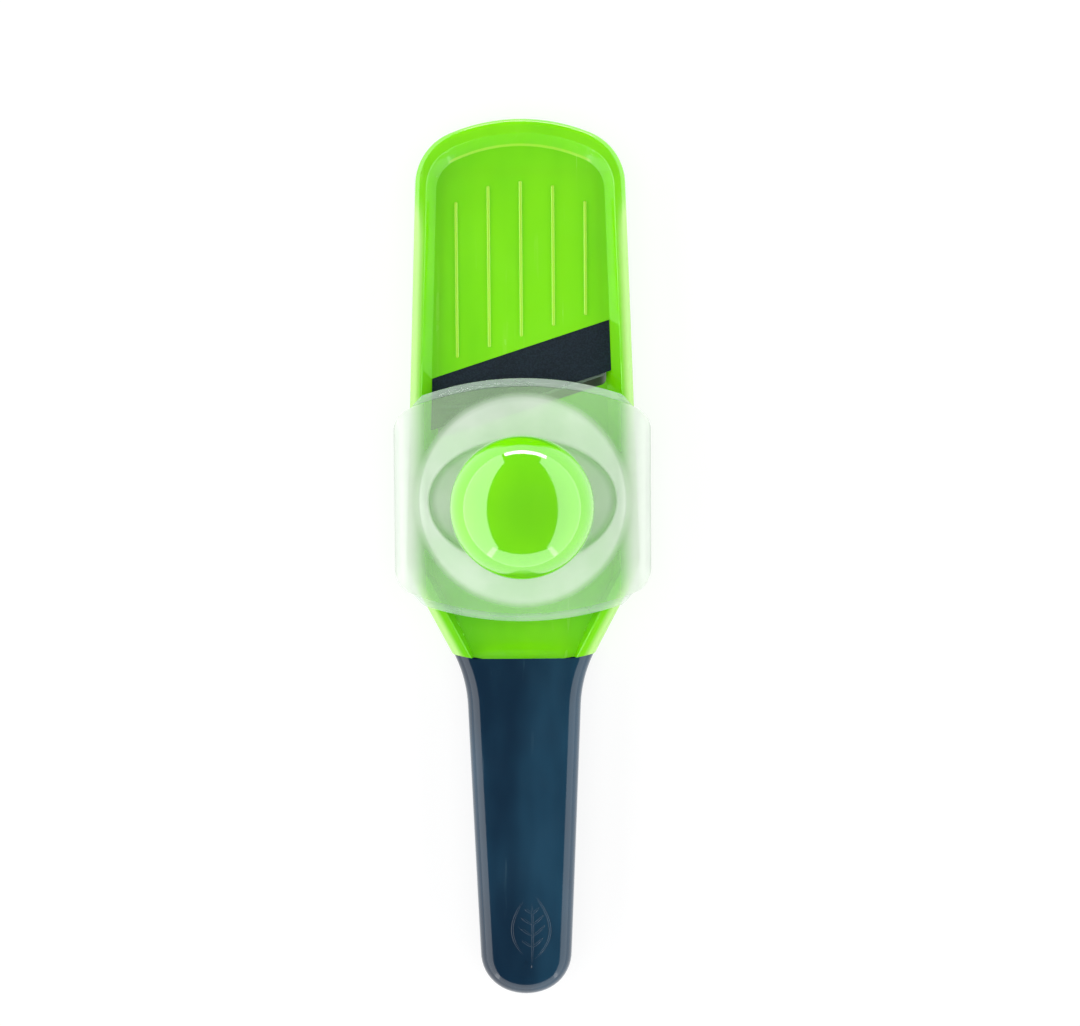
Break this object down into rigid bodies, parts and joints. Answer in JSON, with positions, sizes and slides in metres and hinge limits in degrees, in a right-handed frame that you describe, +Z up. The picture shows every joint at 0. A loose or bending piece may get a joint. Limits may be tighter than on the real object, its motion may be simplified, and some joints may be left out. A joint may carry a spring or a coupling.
{
  "type": "handheld mandoline slicer",
  "caption": "Handheld mandoline slicer: green tray with a diagonal blade and ribbed deck, dark handle, and a frosted finger guard with a ball knob that slides on the rails.",
  "frame": {"origin": "middle of the length and width, on the table under the feet and the handle", "axes": "+Y from the handle to the arched far end, +X to the right seen from above, +Z up"},
  "size_m": [0.0786, 0.27, 0.0566],
  "materials": {
    "green_abs": "glossy moulded",
    "dark_textured_plastic": "fine texture",
    "blade_steel": "ground edge",
    "screw_steel": "plated",
    "foot_rubber": "matte",
    "navy_gloss_plastic": "glossy moulded",
    "frosted_clear": "frosted, clear at the lips",
    "green_gloss_knob": "polished moulded",
    "insert_brass": "turned",
    "plate_steel": "satin"
  },
  "bodies": {
    "slicer": {"tray": "green_abs", "blade_holder": "dark_textured_plastic", "blade": "blade_steel", "blade_clamp": "dark_textured_plastic", "blade_screws": "screw_steel", "head_feet": "foot_rubber", "handle_top_shell": "navy_gloss_plastic", "handle_bottom_shell": "navy_gloss_plastic", "handle_screws": "screw_steel"},
    "guard": {"guard_shell": "frosted_clear", "knob_dome": "green_gloss_knob", "knob_base": "green_gloss_knob", "knob_insert": "insert_brass", "knob_screw": "screw_steel", "knob_washer": "screw_steel", "pin_plate": "plate_steel", "food_pins": "plate_steel"}
  },
  "joints": [
    {"name": "guard_slide", "type": "slide", "parent": "slicer", "child": "guard", "axis": [0, 1, 0], "range_m": [0, 0.055]}
  ]
}
